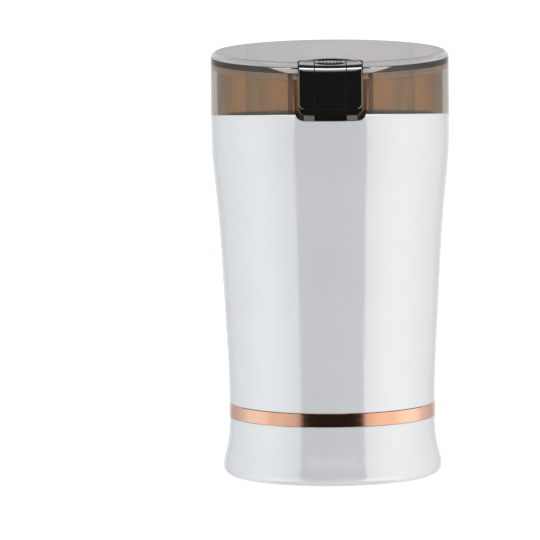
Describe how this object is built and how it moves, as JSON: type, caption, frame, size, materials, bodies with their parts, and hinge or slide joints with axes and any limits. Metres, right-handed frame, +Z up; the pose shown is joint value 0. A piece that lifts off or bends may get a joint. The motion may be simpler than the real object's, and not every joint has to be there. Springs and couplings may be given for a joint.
{
  "type": "electric spice grinder",
  "caption": "Tapered spice grinder with a smoked lid and press button over a steel bowl, a spinning blade and a motor in the housing.",
  "frame": {"origin": "on the ground under the middle of the feet", "axes": "+Z up along the axis, -Y to the front, where the press button is"},
  "size_m": [0.095, 0.0951, 0.1714],
  "materials": {
    "white_shell": "high gloss",
    "trim": "polished rose gold",
    "smoked_clear": "clear smoked brown plastic",
    "black_button": "gloss black",
    "cover_white": "fine grain",
    "rubber_black": "matt",
    "steel": "brushed inside, polished rim",
    "blade_steel": "satin with ground edges",
    "plated_steel": "zinc plated",
    "seal_silicone": "soft",
    "frame_plastic": "glass filled, dark",
    "switch_plastic": "moulded",
    "lamination": "stacked sheet steel",
    "copper": "enamelled winding wire",
    "bronze": "sintered bronze",
    "brass": "bright",
    "carbon": "pressed carbon",
    "fan_plastic": "moulded",
    "capacitor_yellow": "moulded case"
  },
  "bodies": {
    "housing": {"body_shell": "white_shell", "base_shell": "white_shell", "trim_ring": "trim", "bottom_cover": "cover_white", "rubber_feet": "rubber_black", "base_screws": "plated_steel", "cord_gland": "rubber_black", "grinding_bowl": "steel", "bowl_gasket": "seal_silicone", "bowl_nut": "plated_steel", "shaft_seal": "rubber_black", "motor_carrier": "frame_plastic", "carrier_screws": "plated_steel", "rubber_dampers": "rubber_black", "damper_screws": "plated_steel", "power_switch": "switch_plastic", "switch_terminals": "brass", "switch_spring": "plated_steel", "upper_bearing_bracket": "frame_plastic", "upper_bushing": "bronze", "lower_bearing_bracket": "frame_plastic", "lower_bushing": "bronze", "stator_core": "lamination", "field_coils": "copper", "brush_holders": "brass", "carbon_brushes": "carbon", "brush_springs": "plated_steel", "motor_screws": "plated_steel", "interference_capacitor": "capacitor_yellow"},
    "lid": {"lid_cover": "smoked_clear", "button_spring": "plated_steel"},
    "press_button": {"press_button": "black_button"},
    "switch_rod": {"switch_rod": "switch_plastic", "switch_pin": "switch_plastic"},
    "rotor": {"motor_shaft": "plated_steel", "armature_core": "lamination", "armature_windings": "copper", "commutator": "brass", "cooling_fan": "fan_plastic", "blade_washer": "plated_steel", "grinding_blade": "blade_steel", "blade_nut": "plated_steel"}
  },
  "joints": [
    {"name": "lid_lift", "type": "slide", "parent": "housing", "child": "lid", "axis": [0, 0, 1], "range_m": [0, 0.05]},
    {"name": "button_press", "type": "slide", "parent": "lid", "child": "press_button", "axis": [0, 0, -1], "range_m": [0, 0.002], "stiffness_N_per_m": 400, "springref_m": -0.002, "deforming": ["button_spring"]},
    {"name": "switch_rod_slide", "type": "slide", "parent": "housing", "child": "switch_rod", "axis": [0, 0, -1], "range_m": [0, 0.002], "stiffness_N_per_m": 200, "springref_m": -0.002, "deforming": ["switch_spring"]},
    {"name": "rotor_spin", "type": "hinge", "parent": "housing", "child": "rotor", "pos_m": [0, 0, 0.1], "axis": [0, 0, 1], "continuous": true}
  ],
  "couplings": [
    {"joint": "switch_rod_slide", "follows": "button_press", "ratio": 1}
  ]
}
